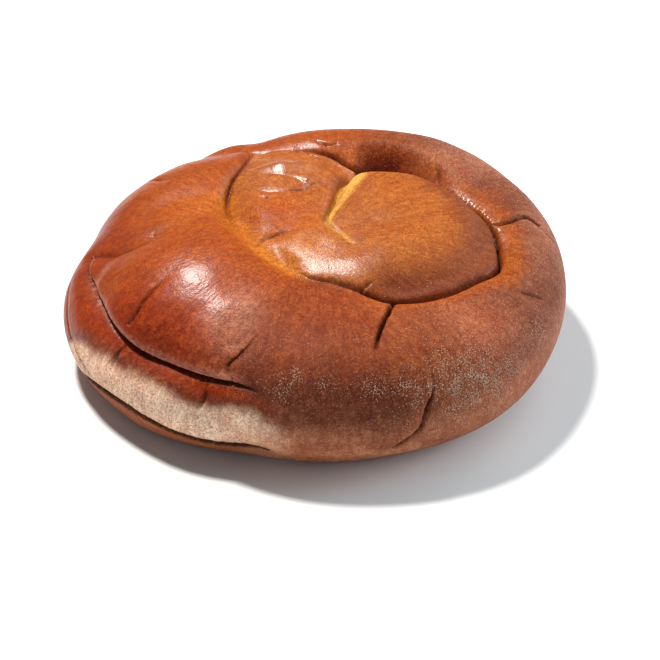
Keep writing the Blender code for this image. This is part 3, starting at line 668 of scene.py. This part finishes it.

# The browning of the crust, with its painted shade, highlights and reflection, laid on in this
# order: tone, how strong, and where.
BROWNING_AND_PAINTED_LIGHT = [
    # the ring
    ("back left", 1, [("ring",), ("patch", ((-62, 24, 62), (34, 30, 30)))]),
    # painted highlight on the back left of the ring
    ("glow", 0.7, [("ring",), ("patch", ((-50, 31, 64), (10, 11, 14)))]),
    ("left edge", 1, [("ring",), ("x", -66, -96), ("y", -20, 10), ("y", 60, 40)]),
    ("lobe", 1, [("ring",), ("patch", ((-66, -42, 50), (40, 30, 26)))]),
    ("lobe lower", 1, [("ring",), ("patch", ((-70, -50, 44), (34, 26, 10)))]),
    # flour dust with a painted sheen on the front left of the ring
    ("dusty", 0.85, [("ring",), ("patch", ((-26, -52, 55), (15, 18, 12)))]),
    ("front top", 1, [("front",), ("ring",)]),
    ("front right", 1, [("front",), ("ring",), ("bearing", 284, 304)]),
    # painted shade on the front wall
    ("front wall", 1, [("front",), ("bearing", 335, 290), ("ring",), ("height", 59, 42)]),
    ("right inner", 1, [("right side",), ("ring",)]),
    ("right", 1, [("right side",), ("ring",), ("out from the coil", 4, 17)]),
    ("right wall", 1, [("right side",), ("ring",), ("height", 56, 30)]),
    ("right rose", 0.8, [("ring",), ("patch", ((68, -50, 54), (18, 14, 10)))]),
    # flour dust with a painted sheen on the right and far right of the ring
    ("dusty", 0.45, [("ring",), ("patch", ((100, 20, 54), (9, 26, 14)), ((72, 72, 62), (22, 16, 14)))]),
    ("low front", 1, [("bearing", 236, 256), ("bearing", 345, 315), ("height", 45, 21)]),
    ("foot", 0.7, [("bearing", 240, 262), ("bearing", 345, 315), ("height", 16, 4)]),
    # the tail: a brown shoulder over a pale wall, and a browner lip below the split
    ("tail top", 1, [("tail",), ("over the gap", 0, -3)]),
    # painted reflection along the lobe's rim over the gap
    ("lobe rim", 0.8, [("above the gap",), ("away from gap under the front lobe", 7, 2),
                       ("bearing", 180, 200), ("bearing", 252, 242)]),
    ("plum", 0.9, [("tail",), ("below the band's top", -7, -2), ("over the gap", -1, -4)]),
    ("pale band", 1, [("tail",), ("below the band's top", -2.5, 4)]),
    # painted light: the band lighter where it faces the front left
    ("pale band, front", 1, [("tail",), ("below the band's top", -2.5, 4), ("bearing", 215, 235)]),
    ("low tan", 0.7, [("bearing", 240, 252), ("bearing", 270, 254), ("height", 28, 16)]),
    ("low tan", 0.6, [("bearing", 262, 276), ("bearing", 306, 292), ("height", 19, 13)]),
    ("base lip", 1, [("tail",), ("below the split", 0, 1.5)]),
    # the coil and its knob
    ("coil", 1, [("coil",)]),
    ("coil front", 1, [("coil",), ("patch", ((-6, -5, 62), (14, 13, 30)))]),
    ("left lobe", 1, [("coil",), ("patch", ((-16, 18, 60), (15, 16, 30)))]),
    # painted shade on the knob's steep wall, darker on its right
    ("knob wall", 1, [("knob",), ("steep",)]),
    ("knob right", 1, [("knob",), ("steep",), ("x", 52, 68)]),
    ("gold", 0.85, [("beside", "coil seam, left", 4.5), ("along coil seam, left", -0.1, 0.1),
                    ("along coil seam, left", 0.8, 0.6)]),
    ("pale gold", 0.8, [("beside", "coil seam, left", 4), ("along coil seam, left", 0.4, 0.15)]),
    ("pale gold", 0.7, [("beside", "coil seam, front", 4), ("along coil seam, front", 0.86, 0.96)]),
    # painted shade in the hollow behind the knob
    ("hollow", 1, [("beside", "coil seam, back", 11), ("along coil seam, back", 0.52, 0.6),
                   ("along coil seam, back", 0.92, 0.74)]),
    # painted shade on the torn edge beside the pale strip
    ("hollow", 0.4, [("right of " + STRIP,), ("away from " + STRIP, 8, 3),
                     ("along " + STRIP, 0.4, 0.15)]),
    # painted light: a lit curl of dough in the shaded hollow
    ("curl", 0.8, [("patch", ((15, 75, 57), (5, 6, 8)))]),
    ("stretched", 1, [("strip",)]),
]
# the cracks' dark lines are painted shade
CRACK_SHADE_FULL = 2         # depth of a slit from which its dark line is full

# The shine of the egg wash: how much more or less than plain, and where.
SHINE = [
    (-0.95, [("x", -46, -22), ("ring",), ("y", 60, 20)]),
    (-0.9, [("x", 0, 30), ("ring",)]),
    (-0.85, [("x", 20, 32), ("coil",)]),
    (-0.7, [("patch", ((-20, 20, 60), (16, 20, 30))), ("coil",)]),
    (-0.5, [("patch", ((-62, -54, 46), (30, 22, 8))), ("ring",)]),
    (-0.6, [("tail",), ("below the gap",), ("bearing", 203, 210)]),
    (2.0, [("patch", ((-13, 46, 64), (15, 12, 20))), ("coil",)]),
    (1.0, [("patch", ((-72, 10, 62), (8, 3, 8))), ("ring",)]),
    (-0.8, [("patch", ((-16, 11, 65), (7, 6, 12))), ("coil",)]),
    (0.8, [("patch", ((-24, 6, 63), (5, 4, 12))), ("coil",)]),
    (0.5, [("patch", ((-46, -38, 60), (8, 8, 12))), ("ring",)]),
    (-0.95, [("patch", ((-34, -56, 54), (10, 9, 12))), ("ring",)]),
    (-1, [("tail",), ("below the band's top", -3, 3)]),
    (-0.6, [("bearing", 210, 250), ("height", 58, 42)]),
    (-0.85, [("true bearing", 202, 214), ("over the gap", 3, 0), ("over the gap", -9, -6)]),
    (-0.8, [("beside", "coil seam, left", 3.5), ("along coil seam, left", 0.5, 0.35)]),
    (-0.8, [("beside", "coil seam, front", 3), ("along coil seam, front", 0.9, 0.96)]),
    (0.4, [("patch", ((2, -20, 62), (16, 8, 20))), ("coil",)]),
    (-0.5, [("patch", ((-58, -12, 66), (11, 11, 20)))]),
]
PUCKER_SHINE = 2       # shine of the puckered lip, at least
MOST = 2               # the most of shine or flour that is laid on any spot

# Brown pits of the pale band, and the speckle of the crust: plain, and more on the front lobe.
PITTED = [("tail",), ("below the band's top", -2, 4)]
SPECKLED_LOBE = ((-62, -48, 46), (40, 28, 22))
SPECKLED_FRONT = 0.3   # share of the lobe's extra speckle that the front has
SPECKLE = 0.55
SPECKLE_MORE = 0.45
SPECKLE_LOST = 0.8     # share of the speckle that is gone where the band is pitted

# Patches of flour left on the crust: middle, reach, how thick.
FLOUR_PATCHES = [
    ((58, -71, 46), (8, 8, 7), 1.2), ((68, -70, 41), (8, 7, 7), 1.0),
    ((81, -59, 40), (7, 7, 6), 1.1), ((60, -78, 33), (6, 5, 5), 1.2),
    ((40, -81, 43), (6, 5, 5), 0.8), ((76, -67, 31), (6, 6, 5), 0.7),
    ((94, -39, 41), (5, 7, 6), 0.5), ((66, -72, 40), (22, 18, 15), 0.4),
    ((-14, -80, 44), (3.5, 3.5, 3.5), 1.2), ((-7, -77, 48), (2.5, 2.5, 2.5), 1.0),
    ((4, -81, 46), (2.5, 2.5, 2.5), 0.7), ((23, -82, 45), (4, 3.5, 3.5), 1.0)]
FLOUR_CLOUDS = (6, 6)            # size and seed of the noise that makes the flour uneven
FLOUR_CLOUD_LIMITS = (-0.1, 0.3)
FLOUR_THIN, FLOUR_MORE = 0.5, 0.8    # how thick it is outside those clouds, and how much more in them
GRAIN_CLOUDS = (4, 9)            # the same for the loose grains
GRAIN_CLOUD_LIMITS = (-0.35, 0.3)
STRAY_GRAINS = 0.007             # loose grains all over the front and the right
STRAY_FROM = (12, 24)            # heights over which they set in
FRONT_DUST, RIGHT_DUST = 0.14, 0.12
FRONT_DUSTED = [("front",), ("height", 60, 40)]
GRAINS_A_SQUARE_METRE = 4.5e6    # where the flour is thick
GRAIN_RADII = (0.07, 0.22)       # mm
GRAIN_SEED = 5


def eased(value, start, end):
    """0 at the start and before it, 1 from the end on, and smooth between."""
    share = np.clip((value - start) / (end - start), 0, 1)
    return share * share * (3 - 2 * share)


def blot(spots, middle, reach):
    """1 at the middle, fading over the reach in x, y and z."""
    off = (spots - np.array(middle)) / np.array(reach)
    return np.exp(-np.sum(off * off, axis=1))


def wandering(values, spots, wander):
    """The values, moved to and fro over the crust."""
    for row in wander:
        values = values + uneven(spots, *row)
    return values


def inside_coil(spots, lines):
    """Signed distance in plan to the seam round the coil: positive inside it."""
    loop = np.vstack([lines["coil seam, front"], lines["coil seam, left"],
                      lines["coil seam, back"], lines["coil seam, right"]])[:, :2]
    x, y = spots[:, 0], spots[:, 1]
    within = np.zeros(len(spots), bool)
    away = np.full(len(spots), FAR_AWAY)
    for (ax, ay), (bx, by) in zip(loop, np.roll(loop, -1, axis=0)):
        if ay != by:
            within ^= ((ay > y) != (by > y)) & (x < (bx - ax) * (y - ay) / (by - ay) + ax)
        length = max((bx - ax) ** 2 + (by - ay) ** 2, TINY)
        share = np.clip(((x - ax) * (bx - ax) + (y - ay) * (by - ay)) / length, 0, 1)
        away = np.minimum(away, np.hypot(x - ax - share * (bx - ax), y - ay - share * (by - ay)))
    return np.where(within, away, -away)


def height_of(name, bearing):
    """Height of a fold of the wall at each bearing."""
    bearings, heights = np.transpose(FOLDS[name]["line"])
    return np.interp(bearing, bearings, heights)


def share_of(place, where):
    """How much of a zone each spot has, from 0 to 1: the product of the zone's rows."""
    share = np.ones(len(place["spots"]))
    for kind, *given in where:
        if kind == "patch":
            part = sum(blot(place["spots"], *patch) for patch in given)
        elif kind == "beside":
            part = np.exp(-(place["away from " + given[0]] / given[1]) ** 2)
        elif given:
            part = eased(place[kind], *given)
        else:
            part = place[kind]
        share = share * part
    return share


def stretched_strip(place):
    """Share of the pale strip beside the knob: wide near the hollow, and dimmer at its end."""
    progress = place["along " + STRIP]
    width = np.interp(progress, *np.transpose(STRIP_WIDTH))
    width = np.where(place["left of " + STRIP], width, STRIP_LEFT_WIDTH)
    dimmed = 1 - STRIP_DIMMED * eased(progress, *STRIP_END)
    return eased(place["away from " + STRIP] / width, *STRIP_EDGE) * dimmed


def measures_of(mesh, lines, nearness):
    """Where each spot of the crust is, and how much of each area it has."""
    spots = spots_of(mesh)
    normals = np.empty(len(spots) * 3)
    mesh.vertex_normals.foreach_get("vector", normals)
    x, y, z = spots.T
    bearing = np.degrees(np.arctan2(y, x)) % 360
    into_coil = inside_coil(spots, lines)
    over_gap = z - height_of("gap under the front lobe", bearing)
    place = {
        "spots": spots, "x": x, "y": y, "true height": z, "true bearing": bearing,
        "height": wandering(z, spots, HEIGHT_WANDER),
        "bearing": wandering(bearing, spots, BEARING_WANDER),
        "facing up": normals.reshape(-1, 3)[:, 2],
        "into the coil": into_coil,
        "out from the coil": wandering(-into_coil, spots, COIL_WANDER),
        "over the gap": over_gap, "above the gap": over_gap > 0, "below the gap": over_gap < 0,
        "below the split": height_of("tail split near the base", bearing) - z,
        "below the band's top": (np.interp(bearing, *np.transpose(BAND_TOP))
                                 - wandering(z, spots, BAND_WANDER)),
    }
    for name, (distance, progress, side) in nearness.items():
        place["away from " + name] = distance
        place["along " + name] = progress
        place["left of " + name] = side > 0
        place["right of " + name] = side < 0
    for name, where in AREAS.items():
        place[name] = share_of(place, where)
    place["right side"] = np.clip(sum(share_of(place, where) for where in RIGHT_SIDE), 0, 1)
    place["steep"] = np.maximum(*[share_of(place, where) for where in STEEP])
    place["strip"] = stretched_strip(place)
    return place


def laid_over(under, name, share):
    """A tone laid over the colour under it."""
    share = np.clip(share, 0, 1)[:, None]
    return under * (1 - share) + np.array(TONES[name]) * share


def browned_with_painted_light(place, nearness):
    """Colour of the crust at each spot, its painted shade and highlights included, with a dark line of
    painted shade down every crack on top.
    """
    tone = np.tile(TONES["ring"], (len(place["spots"]), 1))
    for name, strength, where in BROWNING_AND_PAINTED_LIGHT:
        tone = laid_over(tone, name, strength * share_of(place, where))
    # painted shade: a dark line down the slit of every fold and crack
    ragged = RAGGED * wobble(place["spots"], RAGGED_SIZE)
    for name, fold in FOLDS.items():
        distance, progress, side = nearness[name]
        full = np.clip(along(fold["slit"], progress) / CRACK_SHADE_FULL, 0, 1)
        reach = fold["slit_width"] * fold.get("dark", CRACK_SHADE_WIDTH)
        off = distance + np.sign(side) * ragged * fold.get("ragged", 1)
        tone = laid_over(tone, "crack", full * np.exp(-(off / reach) ** 2))
    return tone


def shining(place):
    """How much the egg wash shines at each spot."""
    gloss = np.ones(len(place["spots"]))
    for change, where in SHINE:
        gloss *= 1 + change * share_of(place, where)
    return np.maximum(gloss, PUCKER_SHINE * share_of(place, PUCKERED_LIP))


def floured(place):
    """How thick the flour lies at each spot, as dust and as loose grains."""
    spots = place["spots"]
    on_right = place["right side"] * place["ring"]
    flour = sum(thick * blot(spots, middle, reach) for middle, reach, thick in FLOUR_PATCHES)
    flour *= FLOUR_THIN + FLOUR_MORE * eased(wobble(spots, *FLOUR_CLOUDS), *FLOUR_CLOUD_LIMITS)
    grains = flour * eased(wobble(spots, *GRAIN_CLOUDS), *GRAIN_CLOUD_LIMITS)
    grains += STRAY_GRAINS * (place["front"] + on_right) * eased(place["height"], *STRAY_FROM)
    flour += FRONT_DUST * share_of(place, FRONT_DUSTED) + RIGHT_DUST * on_right
    return flour, grains


def speckled(place, pits):
    """How strong the speckle of the crust is at each spot."""
    more = blot(place["spots"], *SPECKLED_LOBE) + SPECKLED_FRONT * place["front"]
    mottle = SPECKLE + SPECKLE_MORE * place["ring"] * np.clip(more, 0, 1)
    return mottle * (1 - SPECKLE_LOST * pits)


def flowing(place):
    """Where each spot reads the streaks of the skin, which run outward from the middle."""
    x, y = place["x"], place["y"]
    radius = np.hypot(x, y)
    out = place["spots"] * (1, 1, 0) / np.maximum(radius, TINY)[:, None]
    flow = out * (FLOW_RADIUS + (radius - FLOW_RADIUS) * FLOW_SQUEEZE)[:, None]
    flow[:, 2] = place["true height"] * FLOW_SQUEEZE
    return flow * MM


def paint_crust(loaf, lines, nearness):
    """Lay the crust's tones and painted light, its shine and flour on the loaf, as attributes for its
    material.
    """
    mesh = loaf.data
    place = measures_of(mesh, lines, nearness)
    flour, grains = floured(place)
    pits = share_of(place, PITTED)
    colours = np.hstack([browned_with_painted_light(place, nearness), np.ones((len(flour), 1))])
    tone = mesh.color_attributes.new("crust_tone", "FLOAT_COLOR", "POINT")
    tone.data.foreach_set("color", colours.ravel())
    flow = mesh.attributes.new("flow", "FLOAT_VECTOR", "POINT")
    flow.data.foreach_set("vector", flowing(place).ravel())
    shares = {"flour": flour, "grains": grains, "gloss": shining(place), "pits": pits,
              "mottle": speckled(place, pits)}
    for name, values in shares.items():
        layer = mesh.attributes.new(name, "FLOAT", "POINT")
        layer.data.foreach_set("value", np.clip(values, 0, MOST))


class Tree:
    """Short calls that add nodes to a material and join them. Each gives back its output."""

    def __init__(self, name):
        self.material = bpy.data.materials.new(name)
        self.material.use_nodes = True
        self.nodes = self.material.node_tree.nodes
        self.links = self.material.node_tree.links
        self.shader = self.nodes["Principled BSDF"]
        self.place = self.nodes.new("ShaderNodeTexCoord").outputs["Object"]

    def feed(self, socket, value):
        """Join an output to the socket, or set the socket to a plain value."""
        if hasattr(value, "is_output"):
            self.links.new(value, socket)
        else:
            socket.default_value = value

    def attribute(self, name, output="Fac"):
        """What is laid on the mesh under this name."""
        node = self.nodes.new("ShaderNodeAttribute")
        node.attribute_name = name
        return node.outputs[output]

    def noise(self, size, detail, rough, place=None):
        """Cloudy noise whose lumps are about this many millimetres."""
        node = self.nodes.new("ShaderNodeTexNoise")
        self.feed(node.inputs["Vector"], place or self.place)
        node.inputs["Scale"].default_value = 1 / (size * MM)
        node.inputs["Detail"].default_value = detail
        node.inputs["Roughness"].default_value = rough
        return node.outputs["Fac"]

    def ramp(self, value, low, high, to_low=0.0, to_high=1.0):
        """The value drawn smoothly from one range to another."""
        node = self.nodes.new("ShaderNodeMapRange")
        node.interpolation_type = "SMOOTHSTEP"
        self.feed(node.inputs["Value"], value)
        node.inputs["From Min"].default_value = low
        node.inputs["From Max"].default_value = high
        node.inputs["To Min"].default_value = to_low
        node.inputs["To Max"].default_value = to_high
        return node.outputs["Result"]

    def clouds(self, size, detail, rough, low, high, to_low=0.0, to_high=1.0, place=None):
        """Noise drawn from the range low to high."""
        return self.ramp(self.noise(size, detail, rough, place), low, high, to_low, to_high)

    def product(self, one, two):
        """The two values multiplied."""
        node = self.nodes.new("ShaderNodeMath")
        node.operation = "MULTIPLY"
        self.feed(node.inputs[0], one)
        self.feed(node.inputs[1], two)
        return node.outputs[0]

    def mix(self, share, one, two, how="MIX"):
        """The second colour over the first, as far as the share goes."""
        node = self.nodes.new("ShaderNodeMix")
        node.data_type = "RGBA"
        node.blend_type = how
        under, over, result = node.inputs[6], node.inputs[7], node.outputs[2]     # its colours
        self.feed(node.inputs["Factor"], share)
        self.feed(under, one)
        self.feed(over, two)
        return result

    def tinted(self, colour, tint):
        """The colour multiplied by a tint."""
        return self.mix(1.0, colour, tint, "MULTIPLY")

    def bump(self, height, deep, over=None):
        """Relief whose full height is this many millimetres, over another relief."""
        node = self.nodes.new("ShaderNodeBump")
        self.feed(node.inputs["Height"], height)
        node.inputs["Distance"].default_value = deep * MM
        node.inputs["Strength"].default_value = 1.0
        if over is not None:
            self.links.new(over, node.inputs["Normal"])
        return node.outputs["Normal"]


# Noise in the crust's colour: size of its lumps in mm, and the range that is drawn out of it.
CRUST_CLOUDS = {
    "clouds": dict(size=10, detail=4, rough=0.65, low=0.42, high=0.68, to_high=0.6),
    "streaks": dict(size=2.2, detail=4, rough=0.65, low=0.42, high=0.68, to_high=0.55),
    "flecks": dict(size=2.4, detail=4, rough=0.7, low=0.48, high=0.62, to_high=0.95),
    "bright": dict(size=3.2, detail=4, rough=0.7, low=0.45, high=0.62, to_high=0.95),
    "grain": dict(size=0.8, detail=2, rough=0.6, low=0.3, high=0.7, to_low=0.78, to_high=1.26),
    "pits": dict(size=0.9, detail=2, rough=0.7, low=0.53, high=0.62),
    "dust": dict(size=0.8, detail=2, rough=0.7, low=0.58, high=0.68),
    "dust patches": dict(size=5.0, detail=2, rough=0.5, low=0.35, high=0.6),
    "sparse dust": dict(size=0.6, detail=1, rough=0.5, low=0.62, high=0.72),
}
BROWNER = (0.78, 0.56, 0.45, 1)      # tints of the crust's tone
REDDER = (0.62, 0.43, 0.40, 1)
BRIGHTER = (1.36, 1.52, 1.25, 1)
PIT_BROWN = (0.36, 0.13, 0.055, 1)
PIT_STRENGTH = 0.65
DUST_COLOUR = (0.58, 0.42, 0.33, 1)
SPARSE_DUST_COLOUR = (0.60, 0.34, 0.20, 1)
SPARSE_DUST = dict(low=0, high=0.14, to_low=0.07, to_high=0.28)    # from how thick the flour lies
CRUST_SPECULAR = 0.06
CRUST_ROUGHNESS = dict(low=0, high=0.55, to_low=0.55, to_high=0.62)     # from the streaks
EGG_WASH = 0.5                       # coat where the gloss is 1
EGG_WASH_ROUGHNESS = 0.3
SKIN = dict(size=6.0, detail=3, rough=0.5)
SKIN_RELIEF = 0.3                    # mm, as the next two
CREPE = dict(size=1.0, detail=3, rough=0.6)
CREPE_RELIEF = 0.25
CREPE_LEFT = dict(low=0, high=1, to_low=1, to_high=0.35)     # what the egg wash leaves of it
DRAWN = dict(size=1.5, detail=3, rough=0.55)
DRAWN_RELIEF = 0.10


def egg_washed_crust():
    """The crust: browned tones with painted shade and highlights, a speckle, pits and dust, under a
    coat of egg wash.
    """
    crust = Tree("egg_washed_crust")
    tone = crust.attribute("crust_tone", "Color")
    flow = crust.attribute("flow", "Vector")
    flour = crust.attribute("flour")
    gloss = crust.attribute("gloss")
    mottle = crust.attribute("mottle")
    # browning: red brown clouds, streaks where the dough has stretched, and a fine speckle
    streaks = crust.clouds(**CRUST_CLOUDS["streaks"], place=flow)
    flecks = crust.product(crust.clouds(**CRUST_CLOUDS["flecks"]), mottle)
    bright = crust.product(crust.clouds(**CRUST_CLOUDS["bright"]), mottle)
    browner = crust.tinted(tone, BROWNER)
    redder = crust.tinted(tone, REDDER)
    tone = crust.mix(bright, tone, crust.tinted(tone, BRIGHTER))
    tone = crust.mix(crust.clouds(**CRUST_CLOUDS["clouds"]), tone, browner)
    tone = crust.mix(streaks, tone, redder)
    tone = crust.mix(flecks, tone, redder)
    tone = crust.tinted(tone, crust.clouds(**CRUST_CLOUDS["grain"]))
    # brown pits of the pale side, and pale flour dust
    pits = crust.product(crust.clouds(**CRUST_CLOUDS["pits"]), crust.attribute("pits"))
    tone = crust.mix(crust.product(pits, PIT_STRENGTH), tone, PIT_BROWN)
    dust = crust.product(crust.clouds(**CRUST_CLOUDS["dust"]),
                         crust.clouds(**CRUST_CLOUDS["dust patches"]))
    tone = crust.mix(crust.product(dust, flour), tone, DUST_COLOUR)
    sparse = crust.product(crust.clouds(**CRUST_CLOUDS["sparse dust"]),
                           crust.ramp(flour, **SPARSE_DUST))
    tone = crust.mix(sparse, tone, SPARSE_DUST_COLOUR)
    crust.feed(crust.shader.inputs["Base Color"], tone)
    crust.shader.inputs["Specular IOR Level"].default_value = CRUST_SPECULAR
    crust.feed(crust.shader.inputs["Roughness"], crust.ramp(streaks, **CRUST_ROUGHNESS))
    crust.feed(crust.shader.inputs["Coat Weight"], crust.product(gloss, EGG_WASH))
    crust.shader.inputs["Coat Roughness"].default_value = EGG_WASH_ROUGHNESS
    # relief of the skin, finer and finer
    skin = crust.bump(crust.noise(**SKIN), SKIN_RELIEF)
    crepe = crust.product(crust.noise(**CREPE), crust.ramp(gloss, **CREPE_LEFT))
    crepe = crust.bump(crepe, CREPE_RELIEF, over=skin)
    drawn = crust.bump(crust.noise(**DRAWN, place=flow), DRAWN_RELIEF, over=crepe)
    crust.feed(crust.shader.inputs["Normal"], drawn)
    crust.feed(crust.shader.inputs["Coat Normal"], drawn)
    return crust.material


def build_loaf():
    """The loaf: dough fused, risen, folded, painted and moved to the solid's frame."""
    loaf = fused_dough()
    swell(loaf)
    lines = fold_lines(loaf.data)
    refine_near(loaf, lines)
    nearness = press_folds(loaf, lines)
    paint_crust(loaf, lines, nearness)
    to_solid_frame(loaf)
    loaf.data.materials.clear()
    loaf.data.materials.append(egg_washed_crust())
    loaf.data.shade_smooth()
    return loaf


FLOUR_COLOUR = (0.56, 0.41, 0.31, 1)
TABLE_COLOUR = (0.8, 0.8, 0.8, 1)
MATT_ROUGHNESS = 0.9
MATT_SPECULAR = 0.1


def matt(name, colour):
    """A plain matt material."""
    plain = Tree(name)
    plain.shader.inputs["Base Color"].default_value = colour
    plain.shader.inputs["Roughness"].default_value = MATT_ROUGHNESS
    plain.shader.inputs["Specular IOR Level"].default_value = MATT_SPECULAR
    return plain.material


def grain_scatter():
    """Geometry nodes that scatter grains over a crust, as thick as its own grains attribute."""
    tree = bpy.data.node_groups.new("scattered_grains", "GeometryNodeTree")
    sockets = tree.interface
    sockets.new_socket("Crust", in_out="INPUT", socket_type="NodeSocketGeometry")
    inputs = {}
    for name, kind in (("Grains a square metre", "Float"), ("Smallest radius", "Float"),
                       ("Largest radius", "Float"), ("Seed", "Int"), ("Flour", "Material")):
        socket = sockets.new_socket(name, in_out="INPUT", socket_type="NodeSocket" + kind)
        inputs[name] = socket.identifier
    sockets.new_socket("Grains", in_out="OUTPUT", socket_type="NodeSocketGeometry")
    nodes, links = tree.nodes, tree.links
    given = nodes.new("NodeGroupInput").outputs
    thick = nodes.new("GeometryNodeInputNamedAttribute")
    thick.data_type = "FLOAT"
    thick.inputs["Name"].default_value = "grains"
    density = nodes.new("ShaderNodeMath")
    density.operation = "MULTIPLY"
    links.new(thick.outputs["Attribute"], density.inputs[0])
    links.new(given["Grains a square metre"], density.inputs[1])
    places = nodes.new("GeometryNodeDistributePointsOnFaces")
    links.new(given["Crust"], places.inputs["Mesh"])
    links.new(density.outputs[0], places.inputs["Density"])
    links.new(given["Seed"], places.inputs["Seed"])
    grain = nodes.new("GeometryNodeMeshIcoSphere")
    grain.inputs["Radius"].default_value = 1
    grain.inputs["Subdivisions"].default_value = 1
    size = nodes.new("FunctionNodeRandomValue")
    size.data_type = "FLOAT"
    least, most, radius = size.inputs[2], size.inputs[3], size.outputs[1]     # its plain numbers
    links.new(given["Smallest radius"], least)
    links.new(given["Largest radius"], most)
    links.new(given["Seed"], size.inputs["Seed"])
    laid = nodes.new("GeometryNodeInstanceOnPoints")
    links.new(places.outputs["Points"], laid.inputs["Points"])
    links.new(grain.outputs["Mesh"], laid.inputs["Instance"])
    links.new(places.outputs["Rotation"], laid.inputs["Rotation"])
    links.new(radius, laid.inputs["Scale"])
    real = nodes.new("GeometryNodeRealizeInstances")
    links.new(laid.outputs["Instances"], real.inputs["Geometry"])
    colour = nodes.new("GeometryNodeSetMaterial")
    links.new(real.outputs["Geometry"], colour.inputs["Geometry"])
    links.new(given["Flour"], colour.inputs["Material"])
    links.new(colour.outputs["Geometry"], nodes.new("NodeGroupOutput").inputs["Grains"])
    return tree, inputs


def scattered_flour(loaf):
    """The grains of flour that lie on the loaf."""
    flour = bpy.data.objects.new("flour_grains", loaf.data.copy())
    bpy.context.scene.collection.objects.link(flour)
    tree, inputs = grain_scatter()
    scatter = flour.modifiers.new("scatter", "NODES")
    scatter.node_group = tree
    scatter[inputs["Grains a square metre"]] = GRAINS_A_SQUARE_METRE
    scatter[inputs["Smallest radius"]] = GRAIN_RADII[0] * MM
    scatter[inputs["Largest radius"]] = GRAIN_RADII[1] * MM
    scatter[inputs["Seed"]] = GRAIN_SEED
    scatter[inputs["Flour"]] = matt("flour", FLOUR_COLOUR)
    applied(flour)
    return flour


# Camera and light. The view is the photo's: level across, about 35 degrees above the table.
VIEW_HEIGHT = 35.0                 # degrees
VIEW_TARGET = (5.5, -22.5, 25.0)   # mm
VIEW_DISTANCE = 880.0              # mm
LENS = 110.0
SENSOR = 36.0

# Round softboxes: name, place and what they face in mm, width in mm, power, colour.
SOFTBOXES = [
    ("key", (-320, 320, 1060), (0, 0, 30), 170, 20, (1, 0.97, 0.92)),
    ("back_fill", (900, 500, 900), (0, 0, 0), 1400, 10, (0.88, 0.96, 1)),
    ("right_fill", (1100, 0, 450), (0, 0, 20), 700, 8.5, (0.88, 0.96, 1)),
    ("left_fill", (-800, -700, 350), (0, 0, 20), 600, 0.9, (0.9, 0.95, 1))]
ROOM_COLOUR = (0.80, 0.93, 1, 1)
ROOM_LIGHT = 0.14
TABLE_HALF = 3                     # half the table's width, m


def aimed(item, place, target):
    """Put a camera or a lamp at its place, turned to its target."""
    item.location = Vector(place) * MM
    item.rotation_mode = "QUATERNION"
    item.rotation_quaternion = (Vector(target) - Vector(place)).to_track_quat("-Z", "Y")


def add_camera():
    view = bpy.data.cameras.new("view")
    view.lens = LENS
    view.sensor_width = SENSOR
    camera = bpy.data.objects.new("view", view)
    bpy.context.scene.collection.objects.link(camera)
    rise = math.radians(VIEW_HEIGHT)
    back = Vector((0, -math.cos(rise), math.sin(rise))) * VIEW_DISTANCE
    aimed(camera, Vector(VIEW_TARGET) + back, VIEW_TARGET)
    bpy.context.scene.camera = camera


def add_softbox(name, place, target, size, power, colour):
    box = bpy.data.lights.new(name, "AREA")
    box.shape = "DISK"
    box.size = size * MM
    box.energy = power
    box.color = colour
    lamp = bpy.data.objects.new(name, box)
    bpy.context.scene.collection.objects.link(lamp)
    aimed(lamp, place, target)


def add_room_light():
    world = bpy.data.worlds.new("room")
    bpy.context.scene.world = world
    world.use_nodes = True
    nodes = world.node_tree.nodes
    back = nodes.get("Background") or nodes.new("ShaderNodeBackground")
    out = nodes.get("World Output") or nodes.new("ShaderNodeOutputWorld")
    world.node_tree.links.new(back.outputs[0], out.inputs[0])
    back.inputs["Color"].default_value = ROOM_COLOUR
    back.inputs["Strength"].default_value = ROOM_LIGHT


def add_table():
    mesh = bpy.data.meshes.new("table")
    bm = bmesh.new()
    bmesh.ops.create_grid(bm, x_segments=1, y_segments=1, size=TABLE_HALF)
    bm.to_mesh(mesh)
    bm.free()
    mesh.materials.append(matt("white_table", TABLE_COLOUR))
    floor = bpy.data.objects.new("table", mesh)
    bpy.context.scene.collection.objects.link(floor)


loaf = build_loaf()
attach(loaf, "root")
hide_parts("challah_loaf")
flour = scattered_flour(loaf)
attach(flour, "root")
add_table()
add_camera()
for softbox in SOFTBOXES:
    add_softbox(*softbox)
add_room_light()
bpy.context.scene.view_settings.view_transform = "Standard"
